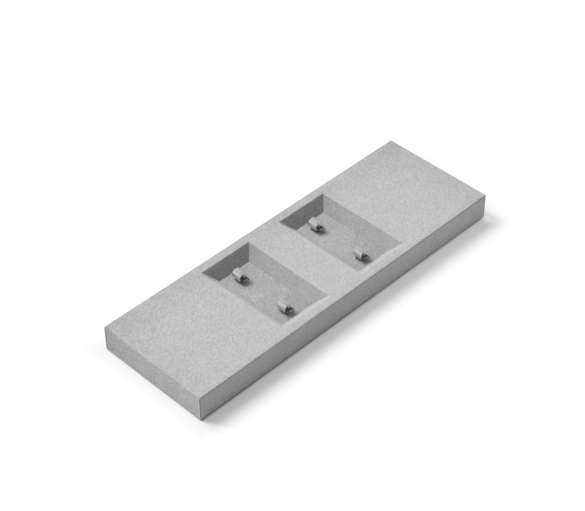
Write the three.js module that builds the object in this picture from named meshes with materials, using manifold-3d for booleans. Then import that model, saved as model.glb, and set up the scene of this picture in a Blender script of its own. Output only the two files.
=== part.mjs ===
// Jewellery display tray: a long fabric-covered slab with two sunken wells and two spring clips in each.
// Millimetres, +Z up. X runs along the tray, -Y is its front, and the origin is the middle of its underside.
import * as THREE from 'three';
import { mergeVertices } from 'three/addons/utils/BufferGeometryUtils.js';
import Module from 'manifold-3d';

const wasm = await Module();
wasm.setup();

// Tray
const LENGTH = 300;
const WIDTH = 98;
const HEIGHT = 22;
const CORNER_RADIUS = 1.2;
const TOP_EDGE_RADIUS = 1;
const FOOT_EDGE_RADIUS = 0.6;

// Wells
const WELL_LENGTH = 47.6;
const WELL_DEPTH = 8.4;
const WELL_INSET = 8.8;
const WELL_CORNER_RADIUS = 0.6;
const BRIDGE_LENGTH = 32;
const RIM_WIDTH = 7.75;
const RIM_RADIUS = 1;

// Layers
const COVER_THICKNESS = 0.8;
const HEM_WIDTH = 14;
const CARD_THICKNESS = 1;
const UNDERSIDE_THICKNESS = 0.5;
const UNDERSIDE_INSET = 3;
const UNDERSIDE_CORNER_RADIUS = 3;
const GLUE_LINE = 0.1;
const FLOOR_CLEARANCE = 0.25;

// Ring clips
const CLIP_STRIP = 0.9;
const CLIP_WIDTH = 8.4;
const CLIP_SEAT_EXTRA = 0.75;
const CLIP_BEND_RADIUS = 4.3;
const CLIP_SHOULDER_RADIUS = 2.4;
const CLIP_SHOULDER_END = 100;
const CLIP_ARM_RADIUS = 6;
const CLIP_ARM_END = 66;
const CLIP_FROM_FLOOR_END = 9.35;
const CLIP_OFFSET = 0;

// Clip screws
const SCREW_HEAD_DIAMETER = 2.8;
const SCREW_HEAD_HEIGHT = 1;
const SCREW_SHANK_DIAMETER = 1.6;
const SCREW_LENGTH = 8;
const SCREW_POINT = 2;
const HEAD_CLEARANCE = 0.25;
const SHANK_CLEARANCE = 0.15;
const PILOT_EXTRA_DEPTH = 0.5;

// Facets, and how far a cutter runs past the face that it cuts
const CORNER_STEPS = 4;
const EDGE_STEPS = 4;
const ARC_STEPS = 5;
const ROUND_SIDES = 24;
const OVERCUT = 1;
const SMALLEST_RADIUS = 0.1;

// Levels from the underside up, and plan sizes
const hemLow = UNDERSIDE_THICKNESS + GLUE_LINE;
const hemHigh = hemLow + COVER_THICKNESS;
const baseLow = hemHigh + GLUE_LINE;
const floorHigh = HEIGHT - WELL_DEPTH;
const floorCoverLow = floorHigh - COVER_THICKNESS;
const cardHigh = floorCoverLow - GLUE_LINE;
const cardLow = cardHigh - CARD_THICKNESS;
const baseHigh = cardLow - GLUE_LINE;
const coreHigh = HEIGHT - COVER_THICKNESS - GLUE_LINE;
const coreInset = COVER_THICKNESS + GLUE_LINE;
const wellWidth = WIDTH - 2 * RIM_WIDTH;
const wellX = (BRIDGE_LENGTH + WELL_LENGTH) / 2;
const slope = Math.atan2(WELL_DEPTH, WELL_INSET);
const clipY = wellWidth / 2 - WELL_INSET - CLIP_FROM_FLOOR_END;

const microfibre = new THREE.MeshStandardMaterial({ color: 0xb6b6b5, roughness: 0.95, metalness: 0 });
const board = new THREE.MeshStandardMaterial({ color: 0xa58a68, roughness: 0.85, metalness: 0 });
const greyCard = new THREE.MeshStandardMaterial({ color: 0x8b8880, roughness: 0.9, metalness: 0 });
const felt = new THREE.MeshStandardMaterial({ color: 0x77777a, roughness: 1, metalness: 0 });
const brightSteel = new THREE.MeshStandardMaterial({ color: 0xd9dadb, roughness: 0.12, metalness: 1 });
const plainSteel = new THREE.MeshStandardMaterial({ color: 0xa9abae, roughness: 0.35, metalness: 1 });

// Turn a closed geometry into a solid that can be cut and joined.
function solidOf(geometry) {
  const bare = geometry.clone();
  bare.deleteAttribute('normal');
  bare.deleteAttribute('uv');
  const merged = mergeVertices(bare);
  const vertProperties = new Float32Array(merged.attributes.position.array);
  const triVerts = new Uint32Array(merged.index.array);
  return new wasm.Manifold(new wasm.Mesh({ numProp: 3, vertProperties, triVerts }));
}

// Turn a solid back into a flat-shaded geometry.
function geometryOf(solid) {
  const mesh = solid.getMesh();
  const indexed = new THREE.BufferGeometry();
  indexed.setAttribute('position', new THREE.BufferAttribute(mesh.vertProperties, 3));
  indexed.setIndex(new THREE.BufferAttribute(mesh.triVerts, 1));
  const flat = indexed.toNonIndexed();
  flat.computeVertexNormals();
  return flat;
}

// A rectangle with rounded corners at one height, anticlockwise seen from above.
function ring(halfX, halfY, radius, z) {
  const points = [];
  for (let corner = 0; corner < 4; corner += 1) {
    const signX = corner === 0 || corner === 3 ? 1 : -1;
    const signY = corner < 2 ? 1 : -1;
    for (let step = 0; step <= CORNER_STEPS; step += 1) {
      const angle = (corner + step / CORNER_STEPS) * Math.PI / 2;
      const x = signX * (halfX - radius) + radius * Math.cos(angle);
      const y = signY * (halfY - radius) + radius * Math.sin(angle);
      points.push(new THREE.Vector3(x, y, z));
    }
  }
  return points;
}

// A closed body through rings of equally many points, given from the lowest ring up.
function loft(rings) {
  const count = rings[0].length;
  const index = [];
  for (let level = 0; level + 1 < rings.length; level += 1) {
    for (let i = 0; i < count; i += 1) {
      const here = level * count + i;
      const next = level * count + (i + 1) % count;
      index.push(here, next, next + count, here, next + count, here + count);
    }
  }
  const top = (rings.length - 1) * count;
  for (let i = 1; i + 1 < count; i += 1) {
    index.push(0, i + 1, i);
    index.push(top, top + i, top + i + 1);
  }
  const geometry = new THREE.BufferGeometry();
  geometry.setFromPoints(rings.flat());
  geometry.setIndex(index);
  return geometry;
}

// The slab drawn in by a layer's depth, with rounded upright corners and rounded edges at its foot and top.
function slab(inset, low, high, radii) {
  const halfX = LENGTH / 2 - inset;
  const halfY = WIDTH / 2 - inset;
  const rings = [];
  for (let step = 0; step <= EDGE_STEPS; step += 1) {
    const angle = (step / EDGE_STEPS) * Math.PI / 2;
    const drawnIn = radii.foot * (1 - Math.sin(angle));
    const z = low + radii.foot * (1 - Math.cos(angle));
    rings.push(ring(halfX - drawnIn, halfY - drawnIn, radii.corner, z));
  }
  for (let step = 0; step <= EDGE_STEPS; step += 1) {
    const angle = (step / EDGE_STEPS) * Math.PI / 2;
    const drawnIn = radii.top * (1 - Math.cos(angle));
    const z = high - radii.top * (1 - Math.sin(angle));
    rings.push(ring(halfX - drawnIn, halfY - drawnIn, radii.corner, z));
  }
  return solidOf(loft(rings));
}

// The edges that a layer beneath the cover shows: sawn square, apart from the eased foot.
function coreRadii(depth) {
  const foot = Math.max(FOOT_EDGE_RADIUS - depth, SMALLEST_RADIUS);
  return { corner: SMALLEST_RADIUS, foot, top: SMALLEST_RADIUS };
}

// How far the wells' sloping walls reach in at a height, seen on a layer that lies under their face.
function wallReach(z, layer) {
  return (HEIGHT - z) * WELL_INSET / WELL_DEPTH - layer / Math.sin(slope);
}

// One ring of a well's wall at a height, on a layer that lies under its face.
function wellRing(z, layer) {
  const reach = wallReach(z, layer);
  return ring(WELL_LENGTH / 2 - reach, wellWidth / 2 - reach, WELL_CORNER_RADIUS, z);
}

// The open space of a well, whose rim rolls over from the top face into the slope.
function wellSpace(low) {
  const rings = [wellRing(low, 0)];
  for (let step = EDGE_STEPS; step >= 0; step -= 1) {
    const angle = (step / EDGE_STEPS) * slope;
    const out = RIM_RADIUS * (Math.tan(slope / 2) - Math.sin(angle));
    const z = HEIGHT - RIM_RADIUS * (1 - Math.cos(angle));
    rings.push(ring(WELL_LENGTH / 2 + out, wellWidth / 2 + out, WELL_CORNER_RADIUS, z));
  }
  const rim = RIM_RADIUS * Math.tan(slope / 2);
  rings.push(ring(WELL_LENGTH / 2 + rim, wellWidth / 2 + rim, WELL_CORNER_RADIUS, HEIGHT + OVERCUT));
  return loft(rings);
}

// Cut the same shape out of a solid at both wells.
function cutAtWells(solid, geometry) {
  const cutter = solidOf(geometry);
  return solid.subtract(cutter.translate([wellX, 0, 0])).subtract(cutter.translate([-wellX, 0, 0]));
}

// Extrude an outline of X and Z along Y, centred on Y = 0.
function alongY(shape, depth) {
  const geometry = new THREE.ExtrudeGeometry(shape, { depth, bevelEnabled: false, curveSegments: ARC_STEPS });
  geometry.rotateX(Math.PI / 2);
  return geometry.translate(0, depth / 2, 0);
}

// Extrude an outline of Y and Z along X, centred on X = 0.
function alongX(shape, depth) {
  const geometry = alongY(shape, depth);
  return geometry.rotateZ(Math.PI / 2);
}

function outline(...points) {
  return new THREE.Shape(points.map(([x, y]) => new THREE.Vector2(x, y)));
}

function upright(radius, low, high) {
  const geometry = new THREE.CylinderGeometry(radius, radius, high - low, ROUND_SIDES);
  geometry.rotateX(Math.PI / 2);
  return geometry.translate(0, 0, (low + high) / 2);
}

function named(name, geometry, material) {
  const mesh = new THREE.Mesh(geometry, material);
  mesh.name = name;
  return mesh;
}

// The one-piece cover: over the top, down into the wells, down the outer walls and turned under as a hem.
function coverGeometry() {
  const skinRadii = { corner: CORNER_RADIUS, foot: FOOT_EDGE_RADIUS, top: TOP_EDGE_RADIUS };
  const skin = slab(0, hemLow, HEIGHT, skinRadii);
  const core = slab(COVER_THICKNESS, hemHigh, HEIGHT - COVER_THICKNESS, coreRadii(COVER_THICKNESS));
  const pocket = loft([wellRing(cardLow, COVER_THICKNESS), wellRing(HEIGHT, COVER_THICKNESS)]);
  const hemX = LENGTH / 2 - HEM_WIDTH;
  const hemY = WIDTH / 2 - HEM_WIDTH;
  const hemWindow = loft([
    ring(hemX, hemY, CORNER_RADIUS, hemLow - OVERCUT),
    ring(hemX, hemY, CORNER_RADIUS, hemHigh + OVERCUT),
  ]);
  const wrapped = cutAtWells(skin, wellSpace(cardLow - OVERCUT)).subtract(cutAtWells(core, pocket));
  return geometryOf(wrapped.subtract(solidOf(hemWindow)));
}

// The lower slab, with an eased foot and a pilot hole under each clip.
function baseBoardGeometry() {
  let drilled = slab(coreInset, baseLow, baseHigh, coreRadii(coreInset));
  const holeLow = screwSeat - SCREW_LENGTH - PILOT_EXTRA_DEPTH;
  const hole = solidOf(upright(SCREW_SHANK_DIAMETER / 2 + SHANK_CLEARANCE, holeLow, baseHigh + OVERCUT));
  for (const x of [-wellX, wellX]) {
    for (const y of [-clipY, clipY]) {
      drilled = drilled.subtract(hole.translate([x + CLIP_OFFSET, y, 0]));
    }
  }
  return geometryOf(drilled);
}

// The rails' section at the back: upright outside, and bevelled towards the wells.
function railShape() {
  const outer = WIDTH / 2 - coreInset;
  const topIn = wellWidth / 2 - wallReach(coreHigh, coreInset);
  const footIn = wellWidth / 2 - wallReach(cardLow, coreInset);
  return outline([outer, cardLow], [outer, coreHigh], [topIn, coreHigh], [footIn, cardLow]);
}

// The wedge of space between the two rails, which the blocks fill from side to side.
function betweenRails() {
  const gap = GLUE_LINE / Math.sin(slope);
  const top = wellWidth / 2 - wallReach(coreHigh, coreInset) - gap;
  const foot = wellWidth / 2 - wallReach(cardLow, coreInset) - gap;
  const shape = outline([-foot, cardLow], [foot, cardLow], [top, coreHigh], [-top, coreHigh]);
  return solidOf(alongX(shape, LENGTH));
}

// A block whose side view is given, bevelled at its sides to sit between the rails.
function blockGeometry(shape) {
  return geometryOf(solidOf(alongY(shape, WIDTH)).intersect(betweenRails()));
}

function platformShape() {
  const end = LENGTH / 2 - coreInset;
  const rim = wellX + WELL_LENGTH / 2;
  const top = rim - wallReach(coreHigh, coreInset);
  const foot = rim - wallReach(cardLow, coreInset);
  return outline([foot, cardLow], [end, cardLow], [end, coreHigh], [top, coreHigh]);
}

function bridgeShape() {
  const top = BRIDGE_LENGTH / 2 + wallReach(coreHigh, coreInset);
  const foot = BRIDGE_LENGTH / 2 + wallReach(cardLow, coreInset);
  return outline([-foot, cardLow], [foot, cardLow], [top, coreHigh], [-top, coreHigh]);
}

// A layer of a well's floor between two heights, with sloping edges and a hole for each clip's screw.
function floorLayerGeometry(low, high) {
  const layer = -FLOOR_CLEARANCE;
  let plate = solidOf(loft([wellRing(low, layer), wellRing(high, layer)]));
  const hole = solidOf(upright(SCREW_SHANK_DIAMETER / 2 + SHANK_CLEARANCE, low - OVERCUT, high + OVERCUT));
  for (const y of [-clipY, clipY]) {
    plate = plate.subtract(hole.translate([CLIP_OFFSET, y, 0]));
  }
  return geometryOf(plate);
}

function undersideGeometry() {
  const halfX = LENGTH / 2 - UNDERSIDE_INSET;
  const halfY = WIDTH / 2 - UNDERSIDE_INSET;
  return loft([
    ring(halfX, halfY, UNDERSIDE_CORNER_RADIUS, 0),
    ring(halfX, halfY, UNDERSIDE_CORNER_RADIUS, UNDERSIDE_THICKNESS),
  ]);
}

// A clip's strip: a seat under its screw's head, a bend up, a shoulder, and an arm back over the seat.
const seatHalf = SCREW_HEAD_DIAMETER / 2 + HEAD_CLEARANCE;
const clipHalf = CLIP_STRIP / 2;
const bendX = -seatHalf - CLIP_SEAT_EXTRA;
const bendZ = CLIP_STRIP + CLIP_BEND_RADIUS;
const shoulderX = bendX - CLIP_BEND_RADIUS + CLIP_SHOULDER_RADIUS;
const shoulderEnd = THREE.MathUtils.degToRad(CLIP_SHOULDER_END);
const armX = shoulderX - (CLIP_ARM_RADIUS - CLIP_SHOULDER_RADIUS) * Math.cos(shoulderEnd);
const armZ = bendZ - (CLIP_ARM_RADIUS - CLIP_SHOULDER_RADIUS) * Math.sin(shoulderEnd);
const armEnd = THREE.MathUtils.degToRad(CLIP_ARM_END);
const clipFoot = floorHigh + GLUE_LINE;
const screwSeat = clipFoot + CLIP_STRIP + GLUE_LINE;

// A clip's outline in X and Z: along its foot, up round the outside to the tip, and back inside to its seat.
function clipShape() {
  const tipX = armX + (CLIP_ARM_RADIUS + clipHalf) * Math.cos(armEnd);
  const tipZ = armZ + (CLIP_ARM_RADIUS + clipHalf) * Math.sin(armEnd);
  const shape = new THREE.Shape();
  shape.absarc(seatHalf, clipHalf, clipHalf, Math.PI / 2, -Math.PI / 2, true);
  shape.absarc(bendX, bendZ, CLIP_BEND_RADIUS + CLIP_STRIP, -Math.PI / 2, -Math.PI, true);
  shape.absarc(shoulderX, bendZ, CLIP_SHOULDER_RADIUS + CLIP_STRIP, Math.PI, shoulderEnd, true);
  shape.absarc(armX, armZ, CLIP_ARM_RADIUS + CLIP_STRIP, shoulderEnd, armEnd, true);
  shape.absarc(tipX, tipZ, clipHalf, armEnd, armEnd - Math.PI, true);
  shape.absarc(armX, armZ, CLIP_ARM_RADIUS, armEnd, shoulderEnd, false);
  shape.absarc(shoulderX, bendZ, CLIP_SHOULDER_RADIUS, shoulderEnd, Math.PI, false);
  shape.absarc(bendX, bendZ, CLIP_BEND_RADIUS, Math.PI, 1.5 * Math.PI, false);
  return shape;
}

// A clip standing on Z = 0 over its screw hole, with its loop open along Y and its mouth towards +X.
function clipGeometry() {
  const strip = solidOf(alongY(clipShape(), CLIP_WIDTH));
  const holeRadius = SCREW_SHANK_DIAMETER / 2 + SHANK_CLEARANCE;
  return geometryOf(strip.subtract(solidOf(upright(holeRadius, -OVERCUT, CLIP_STRIP + OVERCUT))));
}

// A round-headed screw, point down, with the underside of its head on Z = 0.
function screwGeometry() {
  const shank = SCREW_SHANK_DIAMETER / 2;
  const head = SCREW_HEAD_DIAMETER / 2;
  const profile = new THREE.Path();
  profile.moveTo(0, -SCREW_LENGTH);
  profile.lineTo(shank, SCREW_POINT - SCREW_LENGTH);
  profile.lineTo(shank, 0);
  profile.lineTo(head, 0);
  profile.absellipse(0, 0, head, SCREW_HEAD_HEIGHT, 0, Math.PI / 2, false);
  const points = profile.getPoints(ARC_STEPS);
  points[points.length - 1].x = 0;
  const turned = new THREE.LatheGeometry(points, ROUND_SIDES);
  return geometryOf(solidOf(turned.rotateX(Math.PI / 2)));
}

function buildCore() {
  const core = new THREE.Group();
  core.add(named('base_board', baseBoardGeometry(), board));
  const rail = alongX(railShape(), LENGTH - 2 * coreInset);
  const platform = blockGeometry(platformShape());
  const frontRail = named('front_rail', rail, board);
  const leftPlatform = named('left_platform_block', platform, board);
  frontRail.rotation.z = Math.PI;
  leftPlatform.rotation.z = Math.PI;
  core.add(named('back_rail', rail, board), frontRail);
  core.add(named('right_platform_block', platform, board), leftPlatform);
  core.add(named('bridge_block', blockGeometry(bridgeShape()), board));
  return core;
}

function buildWell(side, x) {
  const well = new THREE.Group();
  well.position.x = x;
  well.add(named(`${side}_floor_card`, floorLayerGeometry(cardLow, cardHigh), greyCard));
  well.add(named(`${side}_floor_cover`, floorLayerGeometry(floorCoverLow, floorHigh), microfibre));
  for (const [place, y] of [['front', -clipY], ['back', clipY]]) {
    const clip = named(`${side}_${place}_ring_clip`, clipGeometry(), brightSteel);
    const screw = named(`${side}_${place}_clip_screw`, screwGeometry(), plainSteel);
    clip.position.set(CLIP_OFFSET, y, clipFoot);
    screw.position.set(CLIP_OFFSET, y, screwSeat);
    well.add(clip, screw);
  }
  return well;
}

const tray = new THREE.Group();
tray.add(named('underside_sheet', undersideGeometry(), felt));
tray.add(buildCore());
tray.add(named('microfibre_cover', coverGeometry(), microfibre));
tray.add(buildWell('left', -wellX), buildWell('right', wellX));

export default tray;
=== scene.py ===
"""Dresses a jewellery display tray: microfibre over a board core, two sunken wells and four ring clips.

Metres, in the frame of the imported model: X along the tray, -Y its front, +Z up, origin under its middle.
"""

import logging
import math
from dataclasses import dataclass, field
from enum import Enum
from typing import Any, Callable, Iterable, Union

import bmesh
import bpy
from bmesh.types import BMEdge, BMesh, BMFace, BMVert
from bpy.types import Material, NodeSocket, Object
from mathutils import Euler, Matrix, Vector


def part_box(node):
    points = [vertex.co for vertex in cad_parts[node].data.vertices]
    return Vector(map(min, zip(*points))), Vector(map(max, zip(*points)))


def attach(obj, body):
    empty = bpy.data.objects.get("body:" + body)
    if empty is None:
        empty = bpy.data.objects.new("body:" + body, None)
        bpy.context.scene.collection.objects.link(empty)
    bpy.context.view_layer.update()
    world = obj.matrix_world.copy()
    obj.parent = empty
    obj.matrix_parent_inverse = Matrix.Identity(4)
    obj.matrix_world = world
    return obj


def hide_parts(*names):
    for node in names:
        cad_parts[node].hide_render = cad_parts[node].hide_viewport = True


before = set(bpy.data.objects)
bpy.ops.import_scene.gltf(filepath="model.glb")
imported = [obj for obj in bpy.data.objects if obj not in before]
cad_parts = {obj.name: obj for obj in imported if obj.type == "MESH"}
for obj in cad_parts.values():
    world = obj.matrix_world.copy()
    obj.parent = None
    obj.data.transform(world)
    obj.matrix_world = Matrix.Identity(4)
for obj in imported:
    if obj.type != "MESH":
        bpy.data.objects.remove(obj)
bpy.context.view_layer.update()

MM = 0.001
TOUCHING = 0.001 * MM
OVERCUT = 1.0 * MM
SQUARE_EDGE = math.radians(60)
ROUND_STEPS = 32
NAP_LIE = math.radians(45)
BODY = "root"
LOG = logging.getLogger("tray")

Band = tuple[float, float]
Triple = tuple[float, float, float]
Tone = Union[Triple, NodeSocket]
Value = Union["Signal", float]
Settings = dict[str, Any]
Sockets = dict[Union[str, int], Any]


class Slot(Enum):
    """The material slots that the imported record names."""

    MICROFIBRE = "microfibre"
    BOARD = "board"
    CARD = "card"
    FELT = "felt"
    BRIGHT_STEEL = "bright_steel"
    PLAIN_STEEL = "plain_steel"


class Side(Enum):
    """Which well a piece belongs to."""

    LEFT = "left"
    RIGHT = "right"


class Place(Enum):
    """Which end of a well a clip stands at."""

    FRONT = "front"
    BACK = "back"


def operator(operation: str, swapped: bool = False) -> Callable[..., "Signal"]:
    """Makes a method that adds one Math node.

    Args:
        operation: The node's operation, such as ADD.
        swapped: Whether the method's own value comes second.

    Returns:
        The method.
    """
    def method(self: "Signal", other: Value = 0.0) -> "Signal":
        """Puts this value and another through the node."""
        pair = (other, self) if swapped else (self, other)
        return self.bench.number("ShaderNodeMath", {"operation": operation}, dict(enumerate(pair)))

    return method


class Signal:
    """A number that varies over a surface, on which Python's operators add Math nodes."""

    def __init__(self, bench: "Bench", socket: NodeSocket) -> None:
        """Keeps a socket and the bench that its new nodes go on."""
        self.bench = bench
        self.socket = socket

    __add__ = operator("ADD")
    __radd__ = operator("ADD", swapped=True)
    __sub__ = operator("SUBTRACT")
    __rsub__ = operator("SUBTRACT", swapped=True)
    __mul__ = operator("MULTIPLY")
    __rmul__ = operator("MULTIPLY", swapped=True)
    __abs__ = operator("ABSOLUTE")
    sign = operator("SIGN")
    at_least = operator("MAXIMUM")
    at_most = operator("MINIMUM")

    def __neg__(self) -> "Signal":
        """This value with its sign turned."""
        return self * -1.0

    def ease(self, band: Band) -> "Signal":
        """A smooth step, from 0 at the low end of a band to 1 at its high end."""
        sockets = {0: self, 1: band[0], 2: band[1]}
        return self.bench.number("ShaderNodeMapRange", {"interpolation_type": "SMOOTHSTEP"}, sockets)

    def fall(self, band: Band) -> "Signal":
        """A smooth step, from 1 at the low end of a band to 0 at its high end."""
        return 1.0 - self.ease(band)


@dataclass(frozen=True)
class Pattern:
    """A cloudy pattern: its blotches' size, its finer layers, and how it is stretched and turned about Z."""

    size: float
    detail: float = 2.0
    stretch: Triple = (1.0, 1.0, 1.0)
    turn: float = 0.0
    rough: float = 0.5


class Bench:
    """A node tree under work, with the few kinds of node that the finishes share."""

    def __init__(self, tree: bpy.types.NodeTree) -> None:
        """Starts on an empty tree."""
        self.tree = tree
        tree.nodes.clear()

    def add(self, kind: str, settings: Settings, sockets: Sockets) -> bpy.types.Node:
        """Adds one node.

        Args:
            kind: The node's type.
            settings: Its own settings, which are set first.
            sockets: Values or links for its inputs, by name or number.

        Returns:
            The node.
        """
        node = self.tree.nodes.new(kind)
        for name, value in settings.items():
            setattr(node, name, value)
        for key, value in sockets.items():
            socket = value.socket if isinstance(value, Signal) else value
            if isinstance(socket, NodeSocket):
                self.tree.links.new(socket, node.inputs[key])
            else:
                node.inputs[key].default_value = socket
        return node

    def number(self, kind: str, settings: Settings, sockets: Sockets) -> Signal:
        """Adds one node and gives its first output as a number."""
        return Signal(self, self.add(kind, settings, sockets).outputs[0])

    def axes(self, vector: NodeSocket) -> tuple[Signal, ...]:
        """The X, Y and Z of a vector."""
        node = self.add("ShaderNodeSeparateXYZ", {}, {0: vector})
        return tuple(Signal(self, part) for part in node.outputs)

    def place(self) -> tuple[Signal, ...]:
        """The point's place in the tray's own frame."""
        return self.axes(self.add("ShaderNodeTexCoord", {}, {}).outputs["Object"])

    def facing(self) -> tuple[Signal, ...]:
        """The way that the surface faces."""
        return self.axes(self.add("ShaderNodeNewGeometry", {}, {}).outputs["Normal"])

    def noise(self, pattern: Pattern) -> Signal:
        """A cloudy pattern about zero.

        Args:
            pattern: Its measures.

        Returns:
            The pattern, from about -0.5 to 0.5.
        """
        place = self.add("ShaderNodeTexCoord", {}, {}).outputs["Object"]
        laid = {"Vector": place, "Rotation": Euler((0.0, 0.0, pattern.turn)), "Scale": pattern.stretch}
        place = self.add("ShaderNodeMapping", {"vector_type": "TEXTURE"}, laid).outputs[0]
        sockets = {
            "Vector": place, "Scale": 1.0 / pattern.size,
            "Detail": pattern.detail, "Roughness": pattern.rough,
        }
        return self.number("ShaderNodeTexNoise", {"noise_dimensions": "3D"}, sockets) - 0.5

    def marked(self, name: str) -> Signal:
        """The value of a mark that a piece's faces carry."""
        return Signal(self, self.add("ShaderNodeAttribute", {"attribute_name": name}, {}).outputs["Fac"])

    def tint(self, factor: Signal, first: Tone, second: Tone) -> NodeSocket:
        """A mix of two colours.

        Args:
            factor: The share of the second colour, from 0 to 1.
            first: The colour at 0.
            second: The colour at 1.

        Returns:
            The mixed colour.
        """
        a, b = ((*tone, 1.0) if isinstance(tone, tuple) else tone for tone in (first, second))
        # A Mix node's two colours are its inputs 6 and 7, and their mix is its output 2.
        node = self.add("ShaderNodeMix", {"data_type": "RGBA"}, {0: factor, 6: a, 7: b})
        return node.outputs[2]

    def bump(self, height: Signal, depth: float, strength: float) -> NodeSocket:
        """A relief.

        Args:
            height: The relief's height, about 0 to 1.
            depth: How far it stands up at 1, in metres.
            strength: How much of it shows.

        Returns:
            The bent normal.
        """
        node = self.add("ShaderNodeBump", {}, {"Height": height, "Distance": depth, "Strength": strength})
        return node.outputs[0]

    def surface(self, sockets: Sockets) -> None:
        """Closes the tree with one principled shader, given its inputs."""
        shader = self.add("ShaderNodeBsdfPrincipled", {}, sockets)
        self.add("ShaderNodeOutputMaterial", {}, {"Surface": shader.outputs[0]})


class Finish:
    """What every finish shares: a name, and how it becomes a material."""

    name: str

    def dress(self, bench: Bench) -> None:
        """Puts the finish's nodes on a bench."""
        raise NotImplementedError

    def material(self) -> Material:
        """Makes the finish.

        Returns:
            The material.
        """
        material = bpy.data.materials.new(self.name)
        material.use_nodes = True
        self.dress(Bench(material.node_tree))
        return material


def blend(share: Signal, first: Value, second: Value) -> Signal:
    """A mix of two values, with a share of the second."""
    return first + (second - first) * share


def grey(level: float) -> Triple:
    """A neutral colour."""
    return (level, level, level)


@dataclass(frozen=True)
class WellPlan:
    """Sizes that the wells' openings and slopes share."""

    length: float = 47.6 * MM
    width: float = 82.5 * MM
    depth: float = 8.4 * MM
    inset: float = 8.8 * MM
    bridge: float = 32.0 * MM
    rim_radius: float = 1.0 * MM

    @property
    def middle(self) -> float:
        """How far a well's middle is from the tray's, along X."""
        return (self.bridge + self.length) / 2

    @property
    def slope(self) -> float:
        """How steep the walls are, from level."""
        return math.atan2(self.depth, self.inset)

    def reach(self, drop: float) -> float:
        """How far in the walls have come at a depth under the rim."""
        return drop * self.inset / self.depth


@dataclass(frozen=True)
class Microfibre(Finish):
    """A short sueded nap in heathered greys. Each share is how much of a pattern shows in the tone."""

    name: str = "microfibre"
    dark: Triple = (0.12, 0.12, 0.12)
    light: Triple = (0.63, 0.63, 0.63)
    middle_tone: float = 0.48
    fibres_along: Pattern = Pattern(0.42 * MM, 1.0, (3.6, 1.0, 1.0), NAP_LIE)
    fibres_down: Pattern = Pattern(0.42 * MM, 1.0, (1.0, 1.0, 2.6), NAP_LIE)
    streaks_down: Pattern = Pattern(0.672 * MM, 0.0, (1.0, 1.0, 2.6), NAP_LIE)
    fibre_share: float = 0.56
    upright_along: float = 0.2
    upright_down: float = 1.3
    hairs_along: Pattern = Pattern(0.09 * MM, 1.0, (8.0, 1.0, 1.0), NAP_LIE)
    hairs_down: Pattern = Pattern(0.09 * MM, 1.0, (1.0, 1.0, 8.0), NAP_LIE)
    hair_share: float = 0.3
    tufts: Pattern = Pattern(2.2 * MM, 2.0, (1.7, 1.0, 1.0), NAP_LIE)
    tuft_share: float = 0.2
    upright_tufts: float = 0.08
    clouds: Pattern = Pattern(12.0 * MM, 3.0)
    cloud_share: float = 0.12
    pile: float = 0.08 * MM

    def painted_light_and_seams(self, bench: Bench) -> Value:
        """How much lighter or darker the colour is painted than usual, by its place on the piece: painted
        light and shade, and seam lines.
        """
        return 0.0

    def dress(self, bench: Bench) -> None:
        """Puts the finish's nodes on a bench.

        Args:
            bench: The material's bench.
        """
        upright = 1.0 - abs(bench.facing()[2])
        fibres = bench.noise(self.fibres_along) * blend(upright, 1.0, self.upright_along)
        fibres = fibres + bench.noise(self.fibres_down) * blend(upright, 1.0, self.upright_down)
        fibres = fibres + bench.noise(self.streaks_down) * upright
        hairs = bench.noise(self.hairs_along) + bench.noise(self.hairs_down)
        tufts = bench.noise(self.tufts)
        heather_and_painted_light = self.middle_tone + fibres * self.fibre_share + hairs * self.hair_share
        heather_and_painted_light = heather_and_painted_light + tufts * blend(upright, self.tuft_share, self.upright_tufts)
        # The last term adds painted light and shade, and seam lines, by the piece's place.
        heather_and_painted_light = heather_and_painted_light + bench.noise(self.clouds) * self.cloud_share + self.painted_light_and_seams(bench)
        relief = 0.5 + fibres * 0.5 + hairs * 0.4 + tufts * 0.4
        bench.surface({
            "Base Color": bench.tint(heather_and_painted_light.at_least(0.0).at_most(1.0), self.dark, self.light),
            "Roughness": 0.93 + tufts * 0.12,
            "Normal": bench.bump(relief, self.pile, 0.6),
            "Specular IOR Level": 0.18,
            "Sheen Weight": 0.22,
            "Sheen Roughness": 0.45,
            "Sheen Tint": (*grey(0.85), 1.0),
        })


class CoverSpot:
    """Where a point of the cover is, measured from the tray's edges and from the wells' rims."""

    def __init__(self, bench: Bench, cover: "WrappedMicrofibre") -> None:
        """Measures the point.

        Args:
            bench: The material's bench.
            cover: The cloth, which has the tray's sizes.
        """
        wells = cover.wells
        self.x, self.y, z = bench.place()
        self.drop = cover.height - z
        self.from_end = cover.half_length - abs(self.x)
        self.from_side = cover.half_width - abs(self.y)
        self.from_edge = self.from_end.at_most(self.from_side)
        self.outer_edge = (self.from_edge + self.drop).fall(cover.edge)
        past_end = abs(abs(self.x) - wells.middle) - wells.length / 2
        past_side = abs(self.y) - wells.width / 2
        self.past_rim = past_end.at_least(past_side)
        self.end_wall = (past_end - past_side).ease(cover.mitre)
        self.left_half = (self.x.sign() * wells.middle - self.x).ease((0.0, MM))
        self.front_half = self.y.fall((-MM, MM))


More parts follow.
